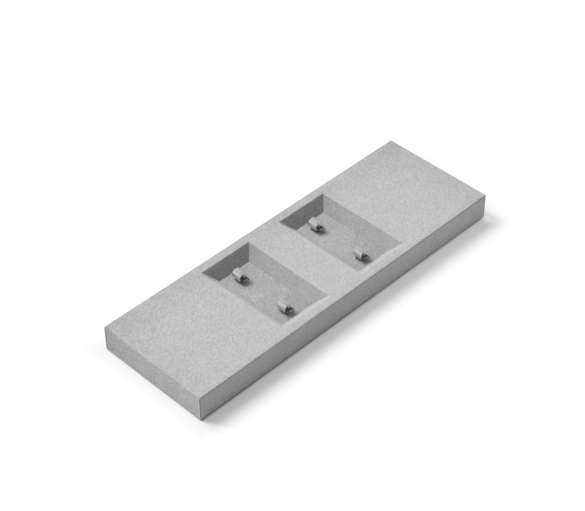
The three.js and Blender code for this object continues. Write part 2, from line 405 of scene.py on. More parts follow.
@dataclass(frozen=True)
class WrappedMicrofibre(Microfibre):
    """Microfibre drawn over the tray, with painted light and shade and seam lines. A tone is how much lighter
    the colour is painted there, or darker below zero.
    """

    name: str = "microfibre_wrapped"
    half_length: float = 150.0 * MM
    half_width: float = 49.0 * MM
    height: float = 22.0 * MM
    wells: WellPlan = field(default_factory=WellPlan)
    edge: Band = (0.0, 1.4 * MM)
    # Painted shade on the outer edges.
    edge_shade: float = -0.05
    corner: Band = (0.6 * MM, 1.2 * MM)
    corner_top: Band = (0.3 * MM, 1.5 * MM)
    seam: Band = (0.24 * MM, 0.6 * MM)
    seam_shift: float = 0.24 * MM
    seam_tone: float = -0.55
    outline_narrowing: float = 0.45
    # A painted highlight on the left end beside the front left corner's seam.
    corner_highlight_start: Band = (0.3 * MM, 0.6 * MM)
    corner_highlight_end: Band = (1.0 * MM, 1.5 * MM)
    corner_highlight_tone: float = 0.12
    mitre: Band = (-0.2 * MM, 0.2 * MM)
    slope_start: Band = (0.02 * MM, 0.3 * MM)
    slope_rim: Band = (-0.5 * MM, 0.5 * MM)
    # Painted shade on the wells' back, front and right walls, and a painted sheen on their left walls.
    back_wall_shade: float = -0.29
    front_wall_shade: float = -0.07
    right_wall_shade: float = -0.205
    left_wall_sheen: float = 0.07
    # A painted highlight along the front and left rims.
    rim_highlight: float = 0.10
    # Where the back walls' painted shade reaches up over the back rims.
    back_rim_start: Band = (-1.5 * MM, -1.0 * MM)
    back_rim_end: Band = (0.1 * MM, 0.8 * MM)
    # Painted shade at the back of the left rims.
    left_rim_end: Band = (0.2 * MM, 1.0 * MM)
    left_rim_shade: float = -0.25
    near_back: Band = (24.5 * MM, 39.2 * MM)
    # Painted shade towards the ends and the back, deepest along the back edge.
    ends: Band = (105.0 * MM, 150.0 * MM)
    end_shade: float = -0.05
    back: Band = (14.7 * MM, 49.0 * MM)
    back_shade: float = -0.07
    back_edge_shade: float = -0.15
    # Painted light on the front wall, more to the right, and across the left end, lighter at its front and
    # darker at its back.
    wall_top: Band = (0.5 * MM, 1.5 * MM)
    wall_depth: Band = (0.0, 1.0 * MM)
    to_right: Band = (-30.0 * MM, 150.0 * MM)
    front_light: float = 0.165
    front_right_light: float = 0.285
    left_end_shading: float = 0.1

    def corner_tone(self, spot: CoverSpot) -> Signal:
        """Darkens the seams down the upright corners, and paints a highlight on the end wall beside the front
        left one.

        Args:
            spot: The point's place on the cover.

        Returns:
            The tone.
        """
        beside = spot.from_side - spot.from_end
        corner = spot.from_edge.fall(self.corner) * spot.drop.ease(self.corner_top)
        outline = spot.x.at_least(spot.y).ease((-MM, MM))
        off_seam = abs(beside - spot.y.sign() * self.seam_shift) * blend(outline, 1.0, self.outline_narrowing)
        # A painted highlight on the left end, beside the front left corner.
        corner_highlight = beside.ease(self.corner_highlight_start) * beside.fall(self.corner_highlight_end)
        corner_highlight = corner_highlight * spot.front_half * (-spot.x).ease((0.0, MM))
        return corner * (corner_highlight * self.corner_highlight_tone + off_seam.fall(self.seam) * self.seam_tone)

    def well_tone(self, spot: CoverSpot) -> Signal:
        """Paints shade on the wells' walls, darkest on the back and right ones, a sheen on the left walls, a
        highlight along the rims, and shade over the back rims and at the back of the left rims.

        Args:
            spot: The point's place on the cover.

        Returns:
            The tone.
        """
        # Painted shade on each wall of the wells, and a painted sheen on their left walls.
        side_wall = blend(spot.front_half, self.back_wall_shade, self.front_wall_shade)
        end_wall = blend(spot.left_half, self.right_wall_shade, self.left_wall_sheen)
        slope = spot.drop.ease(self.slope_start) * spot.past_rim.fall(self.slope_rim)
        # The back rims take the back walls' painted shade, up over their rounding.
        back_rim = spot.past_rim.ease(self.back_rim_start) * spot.past_rim.fall(self.back_rim_end)
        back_rim = back_rim * (1.0 - spot.front_half) * (1.0 - spot.end_wall)
        walls = slope.at_least(back_rim) * blend(spot.end_wall, side_wall, end_wall)
        near_back = spot.y.ease(self.near_back)
        # Painted shade on the left rims, towards the back.
        left_rim = spot.past_rim.fall(self.left_rim_end) * spot.left_half * spot.end_wall * near_back
        # A painted highlight along the front rims and the left rims, short of the back.
        rim = (spot.past_rim.at_least(0.0) + spot.drop * 2.0).fall(self.edge) * (1.0 - near_back)
        rim = rim * blend(spot.end_wall, spot.front_half, spot.left_half)
        return walls + rim * self.rim_highlight + left_rim * self.left_rim_shade

    def outside_tone(self, spot: CoverSpot) -> Signal:
        """Paints light and shade on the outside: painted light on the front wall and the front of the left
        end, and painted shade on the back of the left end, the outer edges, the ends and the back of the top.

        Args:
            spot: The point's place on the cover.

        Returns:
            The tone.
        """
        # Painted shade towards the ends and the back, and painted light and shade on the front wall and the
        # left end.
        ends = abs(spot.x).ease(self.ends) * self.end_shade
        back = spot.y.ease(self.back) * (self.back_shade + spot.outer_edge * self.back_edge_shade)
        front = (self.half_width + spot.y).fall(self.wall_depth)
        front = front * blend(spot.x.ease(self.to_right), self.front_light, self.front_right_light)
        left_end = (self.half_length + spot.x).fall(self.wall_depth)
        left_end = left_end * (spot.y * (-self.left_end_shading / self.half_width))
        walls = spot.drop.ease(self.wall_top) * (front + left_end)
        return walls + ends + back + spot.outer_edge * self.edge_shade

    def painted_light_and_seams(self, bench: Bench) -> Signal:
        """Adds up the corners' seams and painted highlight, and the painted light and shade of the wells and
        the outside.
        """
        spot = CoverSpot(bench, self)
        return self.corner_tone(spot) + self.well_tone(spot) + self.outside_tone(spot)


@dataclass(frozen=True)
class LaidMicrofibre(Microfibre):
    """Microfibre on a well's floor, with painted shade all over that grows darker towards the front and the
    back.
    """

    name: str = "microfibre_floor"
    # Painted shade over the whole floor, and more towards its front and back.
    floor_shade: float = -0.135
    front_back_shade: float = -0.05
    from_middle: Band = (6.0 * MM, 28.0 * MM)

    def painted_light_and_seams(self, bench: Bench) -> Signal:
        """How much darker the floor is painted, as painted shade, by how far it is from the floor's middle.
        """
        _, y, _ = bench.place()
        return self.floor_shade + abs(y).ease(self.from_middle) * self.front_back_shade


@dataclass(frozen=True)
class PolishedSteel(Finish):
    """Bright strip, with painted shade and a rougher surface on its inner face, under its bend and on its low
    edges but for part of the seat's edge.
    """

    foot: float
    name: str = "polished_steel"
    wells: WellPlan = field(default_factory=WellPlan)
    clean: Triple = (0.68, 0.68, 0.68)
    dull: Triple = (0.54, 0.54, 0.55)
    # The colour of the painted shade.
    painted_shade: Triple = (0.09, 0.09, 0.094)
    shade_mark: str = "inside"
    scratches: Pattern = Pattern(0.12 * MM, 2.0, (30.0, 1.0, 30.0))
    smears: Pattern = Pattern(3.0 * MM, 3.0)
    haze: Band = (0.05, 0.4)
    # The stretch of the seat's edge that is left out of the painted shade.
    unshaded_seat_start: Band = (-3.2 * MM, -2.4 * MM)
    unshaded_seat_end: Band = (0.4 * MM, 1.2 * MM)
    # How high the painted shade on the low edges reaches above the foot.
    shaded_edge_top: Band = (2.0 * MM, 4.5 * MM)
    edge_facing: Band = (0.5, 0.8)
    under_facing: Band = (0.25, 0.75)

    def shade_share(self, bench: Bench) -> Signal:
        """Finds where shade is painted: the inner face, under the bend, and the low edges but for part of the
        seat.

        Args:
            bench: The material's bench.

        Returns:
            1 where shade is painted, and 0 elsewhere.
        """
        x, _, z = bench.place()
        _, across, up = bench.facing()
        along = x - x.sign() * self.wells.middle
        unshaded_seat = along.ease(self.unshaded_seat_start) * along.fall(self.unshaded_seat_end)
        edge = abs(across).ease(self.edge_facing) * (z - self.foot).fall(self.shaded_edge_top)
        under = (-up).ease(self.under_facing)
        return bench.marked(self.shade_mark).at_least(edge * (1.0 - unshaded_seat)).at_least(under)

    def dress(self, bench: Bench) -> None:
        """Puts the finish's nodes on a bench.

        Args:
            bench: The material's bench.
        """
        scratches = bench.noise(self.scratches)
        haze = bench.noise(self.smears).ease(self.haze)
        painted_shade = self.shade_share(bench)
        # The base colour turns to painted shade, and the surface rougher, where the mask is set.
        bench.surface({
            "Base Color": bench.tint(painted_shade, bench.tint(haze, self.clean, self.dull), self.painted_shade),
            "Metallic": 1.0,
            "Roughness": 0.34 + haze * 0.10 + scratches * 0.08 + painted_shade * 0.12,
            "Normal": bench.bump(scratches, 0.004 * MM, 0.5),
        })


@dataclass(frozen=True)
class SatinSteel(Finish):
    """Turned steel with a satin plating."""

    name: str = "satin_steel"
    light: Triple = (0.50, 0.50, 0.51)
    dark: Triple = (0.30, 0.30, 0.31)
    grain: Pattern = Pattern(0.25 * MM, 3.0)
    stains: Pattern = Pattern(1.4 * MM, 2.0)
    stained: Band = (-0.1, 0.3)

    def dress(self, bench: Bench) -> None:
        """Puts the finish's nodes on a bench.

        Args:
            bench: The material's bench.
        """
        grain = bench.noise(self.grain)
        stains = bench.noise(self.stains).ease(self.stained)
        bench.surface({
            "Base Color": bench.tint(stains, self.light, self.dark),
            "Metallic": 1.0,
            "Roughness": 0.34 + grain * 0.2,
            "Normal": bench.bump(grain, 0.01 * MM, 0.5),
        })


@dataclass(frozen=True)
class PressedFelt(Finish):
    """Thin pressed felt with matted fibres."""

    name: str = "pressed_felt"
    dark: Triple = (0.12, 0.12, 0.125)
    light: Triple = (0.27, 0.27, 0.28)
    mats: Pattern = Pattern(2.4 * MM, 4.0, rough=0.65)
    hairs: Pattern = Pattern(0.3 * MM, 2.0, (1.0, 6.0, 1.0), 0.6)

    def dress(self, bench: Bench) -> None:
        """Puts the finish's nodes on a bench.

        Args:
            bench: The material's bench.
        """
        mats, hairs = bench.noise(self.mats), bench.noise(self.hairs)
        bench.surface({
            "Base Color": bench.tint(0.5 + mats * 0.8 + hairs * 0.5, self.dark, self.light),
            "Roughness": 0.96 + hairs * 0.05,
            "Normal": bench.bump(mats + hairs, 0.25 * MM, 0.7),
            "Specular IOR Level": 0.15,
            "Sheen Weight": 0.15,
            "Sheen Roughness": 0.6,
        })


@dataclass(frozen=True)
class PressedBoard(Finish):
    """Board pressed from fibres: sawn fibre board or grey card."""

    name: str
    dark: Triple
    light: Triple
    flakes: Pattern
    dust: Pattern

    def dress(self, bench: Bench) -> None:
        """Puts the finish's nodes on a bench.

        Args:
            bench: The material's bench.
        """
        flakes, dust = bench.noise(self.flakes), bench.noise(self.dust)
        bench.surface({
            "Base Color": bench.tint(0.5 + flakes * 1.1 + dust * 0.4, self.dark, self.light),
            "Roughness": 0.85 + flakes * 0.15,
            "Normal": bench.bump(flakes, 0.08 * MM, 0.6),
            "Specular IOR Level": 0.25,
        })


@dataclass(frozen=True)
class LightTable(Finish):
    """The pale table under the tray, which glows as painted light, dimmed near the tray as a painted shadow
    and lifted in parts of that shadow.
    """

    name: str = "light_table"
    dark: Triple = (0.39, 0.39, 0.39)
    light: Triple = (0.41, 0.41, 0.41)
    clouds: Pattern = Pattern(400.0 * MM, 2.0)
    strength: float = 0.42
    brightest: float = 1.25
    covered: Band = (148.6 * MM, 49.0 * MM)
    beside: tuple[tuple[float, Band], ...] = (
        (0.24, (0.0, 20.0 * MM)), (0.56, (-1.0 * MM, 2.0 * MM)), (0.2, (60.0 * MM, 200.0 * MM)),
    )
    to_right: tuple[tuple[float, Band], ...] = (
        (0.15, (-148.6 * MM, 148.6 * MM)), (0.3, (144.0 * MM, 150.0 * MM)),
    )
    close_front: Band = (5.0 * MM, 13.0 * MM)
    past_right: Band = (150.0 * MM, 154.5 * MM)
    left_slant: float = 0.4
    left_start: Band = (-154.0 * MM, -150.0 * MM)
    left_end: Band = (-150.0 * MM, -147.0 * MM)
    left_glow: float = 0.15

    def glow(self, bench: Bench) -> Signal:
        """Fades the glow in away from the tray, as a painted shadow round its foot, and lifts it sooner, as
        painted light, in front of its right half and at its near corner.

        Args:
            bench: The material's bench.

        Returns:
            The glow, from 0 to about 1.
        """
        x, y, _ = bench.place()
        in_front = -y - self.covered[1]
        beside = (abs(x) - self.covered[0]).at_least(abs(y) - self.covered[1])
        all_round = sum(beside.ease(band) * share for share, band in self.beside)
        to_right = sum(x.ease(band) * share for share, band in self.to_right) * x.fall(self.past_right)
        close_by = in_front.ease((-MM, 0.0)) * in_front.fall(self.close_front)
        slanted = x - in_front * self.left_slant
        to_left = slanted.ease(self.left_start) * slanted.fall(self.left_end) * in_front.ease((-MM, MM))
        return all_round + close_by * to_right + to_left * self.left_glow

    def dress(self, bench: Bench) -> None:
        """Puts the finish's nodes on a bench.

        Args:
            bench: The material's bench.
        """
        bench.surface({
            "Base Color": bench.tint(0.5 + bench.noise(self.clouds), self.dark, self.light),
            "Roughness": 1.0,
            "Specular IOR Level": 0.0,
            # The glow is painted light, dimmed near the tray as painted shade.
            "Emission Color": bench.tint(self.glow(bench), grey(0.0), grey(self.brightest)),
            "Emission Strength": self.strength,
        })


def part_of(geom: Iterable[Any], kind: type) -> list[Any]:
    """The elements of one kind in what an operator gives back."""
    return [item for item in geom if isinstance(item, kind)]


def everything(bm: BMesh) -> list[Any]:
    """All vertices, edges and faces of a mesh."""
    return [*bm.verts, *bm.edges, *bm.faces]


def square_edges(bm: BMesh, test: Callable[[Any], bool] | None = None) -> list[Any]:
    """Finds the edges that turn sharply enough to be rounded.

    Args:
        bm: The mesh.
        test: Which of those edges to keep, or None for all.

    Returns:
        The edges.
    """
    found = [e for e in bm.edges if len(e.link_faces) == 2 and e.calc_face_angle() > SQUARE_EDGE]
    return [e for e in found if test is None or test(e)]


def round_over(bm: BMesh, edges: list[Any], offset: float, segments: int) -> None:
    """Rounds edges.

    Args:
        bm: The mesh.
        edges: The edges.
        offset: How far from each edge the rounding starts, in metres.
        segments: How many faces it has across.
    """
    bmesh.ops.bevel(
        bm, geom=edges, affect="EDGES", offset=offset, offset_type="OFFSET", segments=segments,
        profile=0.5, material=-1, loop_slide=True, clamp_overlap=False,
    )


def rounded_plate(bm: BMesh, half: Vector, radius: float, segments: int) -> BMFace:
    """Makes a level rectangle with rounded corners at Z = 0.

    Args:
        bm: The mesh.
        half: Half its sizes along X and Y.
        radius: The corners' radius.
        segments: How many edges each corner has.

    Returns:
        Its face.
    """
    corners = bmesh.ops.create_grid(bm, x_segments=1, y_segments=1, size=1.0)["verts"]
    bmesh.ops.scale(bm, vec=(half.x, half.y, 1.0), verts=corners)
    bmesh.ops.bevel(
        bm, geom=corners, affect="VERTICES", offset=radius, offset_type="OFFSET", segments=segments,
        profile=0.5, material=-1, clamp_overlap=False,
    )
    bm.faces.ensure_lookup_table()
    return bm.faces[-1]


def stand(name: str, data: Any) -> Object:
    """Puts a new object into the scene.

    Args:
        name: Its name.
        data: Its mesh, light or camera.

    Returns:
        The object.
    """
    made = bpy.data.objects.new(name, data)
    bpy.context.scene.collection.objects.link(made)
    return made


class SubAssembly:
    """What every group of pieces shares: how a mesh becomes a piece that rides on the tray."""

    smooth_angle = 32.0

    def piece(self, bm: BMesh, node: str, material: Material, slot: Slot) -> Object:
        """Turns a mesh into the piece that stands for a CAD node.

        Args:
            bm: The mesh, in the tray's frame.
            node: The CAD node.
            material: Its finish.
            slot: The record's slot for that finish; not used.

        Returns:
            The piece.
        """
        mesh = bpy.data.meshes.new(f"{node}_dressed")
        bm.to_mesh(mesh)
        bm.free()
        mesh.shade_smooth()
        mesh.set_sharp_from_angle(angle=math.radians(self.smooth_angle))
        mesh.materials.append(material)
        made = stand(mesh.name, mesh)
        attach(made, BODY)
        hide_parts(node)
        LOG.info("%s: %d faces", made.name, len(mesh.polygons))
        return made

    def cut(self, bm: BMesh, cutter: BMesh) -> BMesh:
        """Cuts one closed mesh out of another.

        Args:
            bm: The mesh to cut, which is used up.
            cutter: The mesh to take away, which is used up.

        Returns:
            What is left.
        """
        blank, tool = (stand(name, bpy.data.meshes.new(name)) for name in ("blank", "tool"))
        for source, target in ((bm, blank), (cutter, tool)):
            source.to_mesh(target.data)
            source.free()
        modifier = blank.modifiers.new("cut", "BOOLEAN")
        modifier.operation = "DIFFERENCE"
        modifier.solver = "EXACT"
        modifier.use_self = True
        modifier.object = tool
        left = bmesh.new()
        left.from_object(blank, bpy.context.evaluated_depsgraph_get())
        bmesh.ops.dissolve_degenerate(left, dist=TOUCHING, edges=left.edges[:])
        for used in (blank, tool):
            bpy.data.meshes.remove(used.data)
        return left


def upright_rod(radius: float, low: float, high: float, places: Iterable[tuple[float, float]]) -> BMesh:
    """Makes upright rods to drill with.

    Args:
        radius: Their radius.
        low: Their lowest level.
        high: Their highest level.
        places: The X and Y of each.

    Returns:
        The mesh.
    """
    bm = bmesh.new()
    for x, y in places:
        bmesh.ops.create_cone(
            bm, cap_ends=True, segments=ROUND_STEPS, radius1=radius, radius2=radius, depth=high - low,
            matrix=Matrix.Translation((x, y, (low + high) / 2)),
        )
    return bm


@dataclass
class Cover(SubAssembly):
    """The one-piece cover: over the top, into the wells, down the walls and turned under as a hem."""

    node: str = "microfibre_cover"
    corner_radius: float = 0.4 * MM
    top_radius: float = 0.6 * MM
    foot_radius: float = 0.7 * MM
    hem_width: float = 14.0 * MM
    cloth: float = 0.7 * MM
    seam_gap: float = 0.06 * MM
    seam_top: float = 0.54 * MM
    seam_depth: float = 0.1 * MM
    pressed_top: float = 0.72 * MM
    corner_steps: int = 4
    edge_steps: int = 5
    rim_steps: int = 3
    seam_steps: int = 2
    wells: WellPlan = field(default_factory=WellPlan)

    def __post_init__(self) -> None:
        """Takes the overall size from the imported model."""
        low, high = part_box(self.node)
        self.low, self.high = low.z, high.z
        self.half = Vector((high.x, high.y))
        self.wall_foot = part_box("left_floor_card")[0].z

    def draw(self, bm: BMesh, loop: list[Any], inset: float, z: float) -> list[Any]:
        """Draws the open edge of the cloth on to a new level.

        Args:
            bm: The mesh.
            loop: The open edge.
            inset: How far in from the walls the new edge lies.
            z: Its level.

        Returns:
            The new open edge.
        """
        grown = bmesh.ops.extrude_edge_only(bm, edges=loop)["geom"]
        verts = part_of(grown, BMVert)
        reach = Vector((max(v.co.x for v in verts), max(v.co.y for v in verts)))
        target = Vector((self.half.x - inset, self.half.y - inset))
        bmesh.ops.scale(bm, vec=(target.x / reach.x, target.y / reach.y, 1.0), verts=verts)
        bmesh.ops.translate(bm, vec=(0.0, 0.0, z - verts[0].co.z), verts=verts)
        return part_of(grown, BMEdge)

    def quarter(self, radius: float) -> list[tuple[float, float]]:
        """Steps round a quarter circle.

        Args:
            radius: Its radius.

        Returns:
            For each step, how far in it is and how far short of the end level.
        """
        turns = [math.pi / 2 * step / self.edge_steps for step in range(1, self.edge_steps + 1)]
        return [(radius * (1 - math.cos(turn)), radius * (1 - math.sin(turn))) for turn in turns]

    def walls(self, bm: BMesh) -> None:
        """Builds the outer walls, the rounded top edge with a plain top, the foot and the hem.

        Args:
            bm: An empty mesh.
        """
        start = self.low + self.foot_radius
        plate = rounded_plate(bm, self.half, self.corner_radius, self.corner_steps)
        first = list(plate.edges)
        bmesh.ops.translate(bm, vec=(0.0, 0.0, start), verts=bm.verts[:])
        bmesh.ops.delete(bm, geom=[plate], context="FACES_ONLY")
        loop = self.draw(bm, first, 0.0, self.high - self.top_radius)
        for inset, short in self.quarter(self.top_radius):
            loop = self.draw(bm, loop, inset, self.high - short)
        bmesh.ops.contextual_create(bm, geom=loop)
        loop = first
        for inset, short in self.quarter(self.foot_radius):
            loop = self.draw(bm, loop, inset, self.low + short)
        self.draw(bm, loop, self.hem_width, self.low)
        bmesh.ops.recalc_face_normals(bm, faces=bm.faces[:])

    def top_faces(self, bm: BMesh) -> list[Any]:
        """The level faces of the top."""
        return [f for f in bm.faces if all(v.co.z > self.high - TOUCHING for v in f.verts)]

    def sink_wells(self, bm: BMesh) -> None:
        """Cuts the wells' windows in the top and folds their edges down as slopes.

        Args:
            bm: The mesh with a plain top.
        """
        plan = self.wells
        ends = [sign * plan.middle + half * plan.length / 2 for sign in (-1, 1) for half in (-1, 1)]
        cuts = [((x, 0.0, 0.0), (1.0, 0.0, 0.0)) for x in ends]
        cuts += [((0.0, sign * plan.width / 2, 0.0), (0.0, 1.0, 0.0)) for sign in (-1, 1)]
        for place, across in cuts:
            faces = self.top_faces(bm)
            edges = {e for f in faces for e in f.edges}
            verts = {v for f in faces for v in f.verts}
            top = [*verts, *edges, *faces]
            bmesh.ops.bisect_plane(bm, geom=top, plane_co=place, plane_no=across, dist=0.1 * TOUCHING)
        windows = [f for f in self.top_faces(bm) if self.in_window(f.calc_center_median())]
        rims = {e for f in windows for e in f.edges}
        drop = self.high - self.wall_foot
        folded = bmesh.ops.inset_individual(
            bm, faces=windows, thickness=plan.reach(drop), depth=-drop, use_even_offset=True
        )["faces"]
        mitres = {e for f in folded for e in f.edges if sum(g in folded for g in e.link_faces) == 2}
        bmesh.ops.delete(bm, geom=windows, context="FACES")
        round_over(bm, [*rims, *mitres], plan.rim_radius * math.tan(plan.slope / 2), self.rim_steps)

    def in_window(self, point: Vector) -> bool:
        """Tells whether a point of the top lies over a well."""
        along = abs(abs(point.x) - self.wells.middle) < self.wells.length / 2
        return along and abs(point.y) < self.wells.width / 2

    def on_corner(self, point: Vector, drop: float) -> bool:
        """Tells whether a point lies on the line that halves an upright corner.

        Args:
            point: The point.
            drop: How far under the top it has to be.

        Returns:
            Whether it is on the line, outside the hem and low enough.
        """
        from_end, from_side = self.half.x - abs(point.x), self.half.y - abs(point.y)
        on_line = abs(from_end - from_side) < TOUCHING and from_end < self.hem_width / 2
        return on_line and point.z < self.high - drop

    def corner_seams(self, bm: BMesh) -> None:
        """Presses the narrow seam where the cloth's edges meet into each upright corner.

        Args:
            bm: The finished skin.
        """
        seams = [e for e in bm.edges if all(self.on_corner(v.co, self.seam_top) for v in e.verts)]
        round_over(bm, seams, self.seam_gap, self.seam_steps)
        for vert in bm.verts:
            if self.on_corner(vert.co, self.pressed_top):
                outward = Vector((math.copysign(1.0, vert.co.x), math.copysign(1.0, vert.co.y), 0.0))
                bmesh.ops.translate(bm, vec=-self.seam_depth * outward.normalized(), verts=[vert])

    def build(self) -> None:
        """Builds and dresses the cover."""
        bm = bmesh.new()
        self.walls(bm)
        self.sink_wells(bm)
        self.corner_seams(bm)
        bmesh.ops.recalc_face_normals(bm, faces=bm.faces[:])
        bmesh.ops.solidify(bm, geom=everything(bm), thickness=self.cloth)
        finish = WrappedMicrofibre(
            half_length=self.half.x, half_width=self.half.y, height=self.high, wells=self.wells
        )
        made = self.piece(bm, self.node, finish.material(), Slot.MICROFIBRE)
        self.declare(made)

    def declare(self, made: Object) -> None:
        """Works out the length of a well's slope, which nothing further uses.

        Args:
            made: The cover; not used.
        """
        slope = math.hypot(self.high - self.wall_foot, self.wells.reach(self.high - self.wall_foot))


@dataclass
class FloorCover(SubAssembly):
    """The cloth on the floor of one well, drawn over its card."""

    side: Side
    finish: Material
    edge_radius: float = 0.12 * MM
    hole_radius: float = 0.95 * MM
    taper: float = 0.84 * MM
    spread: float = 0.3 * MM
    edge_steps: int = 3

    def build(self) -> None:
        """Builds and dresses the floor cover."""
        node = f"{self.side.value}_floor_cover"
        low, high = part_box(node)
        size = high - low
        bm = bmesh.new()
        verts = bmesh.ops.create_cube(bm, size=1.0)["verts"]
        spread = size + Vector((2 * self.spread, 2 * self.spread, 0.0))
        bmesh.ops.scale(bm, vec=spread, verts=verts)
        under = [v for v in verts if v.co.z < 0]
        narrow = (1 - 2 * self.taper / spread.x, 1 - 2 * self.taper / spread.y, 1.0)
        bmesh.ops.scale(bm, vec=narrow, verts=under)
        upper = square_edges(bm, lambda e: all(v.co.z > 0 for v in e.verts))
        round_over(bm, upper, self.edge_radius, self.edge_steps)
        bmesh.ops.translate(bm, vec=(low + high) / 2, verts=bm.verts[:])
        screws = [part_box(f"{self.side.value}_{place.value}_clip_screw") for place in Place]
        places = [((a.x + b.x) / 2, (a.y + b.y) / 2) for a, b in screws]
        bm = self.cut(bm, upright_rod(self.hole_radius, low.z - OVERCUT, high.z + OVERCUT, places))
        made = self.piece(bm, node, self.finish, Slot.MICROFIBRE)


@dataclass
class UndersideSheet(SubAssembly):
    """The felt that covers the hem underneath."""

    node: str = "underside_sheet"
    corner_radius: float = 3.0 * MM
    corner_steps: int = 6
    edge_radius: float = 0.25 * MM
    edge_steps: int = 2

    def build(self) -> None:
        """Builds and dresses the sheet."""
        low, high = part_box(self.node)
        bm = bmesh.new()
        plate = rounded_plate(bm, high.xy, self.corner_radius, self.corner_steps)
        top = part_of(bmesh.ops.extrude_face_region(bm, geom=[plate])["geom"], BMVert)
        bmesh.ops.translate(bm, vec=(0.0, 0.0, high.z - low.z), verts=top)
        bmesh.ops.recalc_face_normals(bm, faces=bm.faces[:])
        round_over(bm, square_edges(bm), self.edge_radius, self.edge_steps)
        bmesh.ops.remove_doubles(bm, verts=bm.verts[:], dist=TOUCHING)
        bmesh.ops.translate(bm, vec=(0.0, 0.0, low.z), verts=bm.verts[:])
        made = self.piece(bm, self.node, PressedFelt().material(), Slot.FELT)


@dataclass
class ClipPiece(SubAssembly):
    """A piece at one of the four clips' places."""

    side: Side
    place: Place
    finish: Material

    @property
    def clip(self) -> str:
        """The clip's CAD node."""
        return f"{self.side.value}_{self.place.value}_ring_clip"

    @property
    def screw(self) -> str:
        """The CAD node of the screw that holds the clip."""
        return f"{self.side.value}_{self.place.value}_clip_screw"


@dataclass
class RingClip(ClipPiece):
    """A clip bent from bright strip: a seat under its screw, a bend, a shoulder and a sprung arm."""

    strip: float = 0.9 * MM
    seat_end: float = 2.1 * MM
    seat_back: float = 2.4 * MM
    bend_radius: float = 4.3 * MM
    shoulder_radius: float = 2.4 * MM
    shoulder_end: float = 100.0
    arm_radius: float = 6.0 * MM
    arm_end: float = 66.0
    hole_radius: float = 0.95 * MM
    end_radius: float = 0.405 * MM
    edge_radius: float = 0.35 * MM
    arc_steps: int = 20
    edge_steps: int = 4
    inward_least: float = 0.45
    edge_least: float = 0.4

    def bend(self, bm: BMesh, end: list[Any], middle: Vector, degrees: float) -> list[Any]:
        """Carries the line on round an arc.

        Args:
            bm: The mesh.
            end: The line's last point, as an operator gives it back.
            middle: The arc's middle.
            degrees: How far the line turns to its right.

        Returns:
            The line's new last point.
        """
        turned = bmesh.ops.spin(
            bm, geom=end, cent=middle, axis=(0.0, 1.0, 0.0), angle=math.radians(degrees),
            steps=self.arc_steps,
        )
        return part_of(turned["geom_last"], BMVert)

    def outside(self, bm: BMesh, y: float) -> None:
        """Draws the outside of the clip, from the end of its foot to the tip of its arm.

        Args:
            bm: An empty mesh.
            y: Where along Y the line is drawn.
        """
        corner = Vector((-self.seat_back, y, self.bend_radius + self.strip))
        shoulder = corner + Vector((self.shoulder_radius - self.bend_radius, 0.0, 0.0))
        turn, out = math.radians(self.shoulder_end), math.radians(self.arm_end)
        flatter = self.arm_radius - self.shoulder_radius
        arm = shoulder - flatter * Vector((math.cos(turn), 0.0, math.sin(turn)))
        toe = bm.verts.new((self.seat_end, y, 0.0))
        heel = bm.verts.new((-self.seat_back, y, 0.0))
        bm.edges.new((toe, heel))
        end = self.bend(bm, [heel], corner, 90.0)
        end = self.bend(bm, end, shoulder, 180.0 - self.shoulder_end)
        end = self.bend(bm, end, arm, self.shoulder_end - self.arm_end)
        tip = bm.verts.new(end[0].co + self.strip / 2 * Vector((math.sin(out), 0.0, -math.cos(out))))
        bm.edges.new((end[0], tip))

    def mark_inside(self, bm: BMesh, heart: Vector) -> None:
        """Marks the faces that look into the clip's loop, but for its edges; the finish paints shade on the
        marked faces.

        Args:
            bm: The finished clip.
            heart: A point in the middle of the loop.
        """
        mark = bm.faces.layers.float.new(PolishedSteel.shade_mark)
        for face in bm.faces:
            inward = heart - face.calc_center_median()
            inward.y = 0.0
            looks_in = face.normal.dot(inward.normalized()) > self.inward_least
            face[mark] = 1.0 if looks_in and abs(face.normal.y) < self.edge_least else 0.0

    def build(self) -> None:
        """Builds and dresses the clip."""
        low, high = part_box(self.clip)
        under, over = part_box(self.screw)
        x, y, width = (under.x + over.x) / 2, (under.y + over.y) / 2, high.y - low.y
        bm = bmesh.new()
        self.outside(bm, -width / 2)
        drawn = bmesh.ops.extrude_edge_only(bm, edges=bm.edges[:])["geom"]
        bmesh.ops.translate(bm, vec=(0.0, width, 0.0), verts=part_of(drawn, BMVert))
        bmesh.ops.recalc_face_normals(bm, faces=bm.faces[:])
        if min(bm.faces, key=lambda f: f.calc_center_median().z).normal.z > 0:
            bmesh.ops.reverse_faces(bm, faces=bm.faces[:])
        bmesh.ops.solidify(bm, geom=everything(bm), thickness=self.strip)
        ends = square_edges(bm, lambda e: abs(e.verts[0].co.y - e.verts[1].co.y) > width / 2)
        round_over(bm, ends, self.end_radius, self.edge_steps)
        sides = square_edges(bm, lambda e: abs(e.verts[0].co.y - e.verts[1].co.y) < width / 2)
        round_over(bm, sides, self.edge_radius, self.edge_steps)
        bmesh.ops.translate(bm, vec=(x, y, low.z), verts=bm.verts[:])
        drill = upright_rod(self.hole_radius, low.z - OVERCUT, low.z + self.strip + OVERCUT, [(x, y)])
        bm = self.cut(bm, drill)
        self.mark_inside(bm, Vector((x - self.seat_back - self.strip, y, low.z + self.bend_radius)))
        self.piece(bm, self.clip, self.finish, Slot.BRIGHT_STEEL)


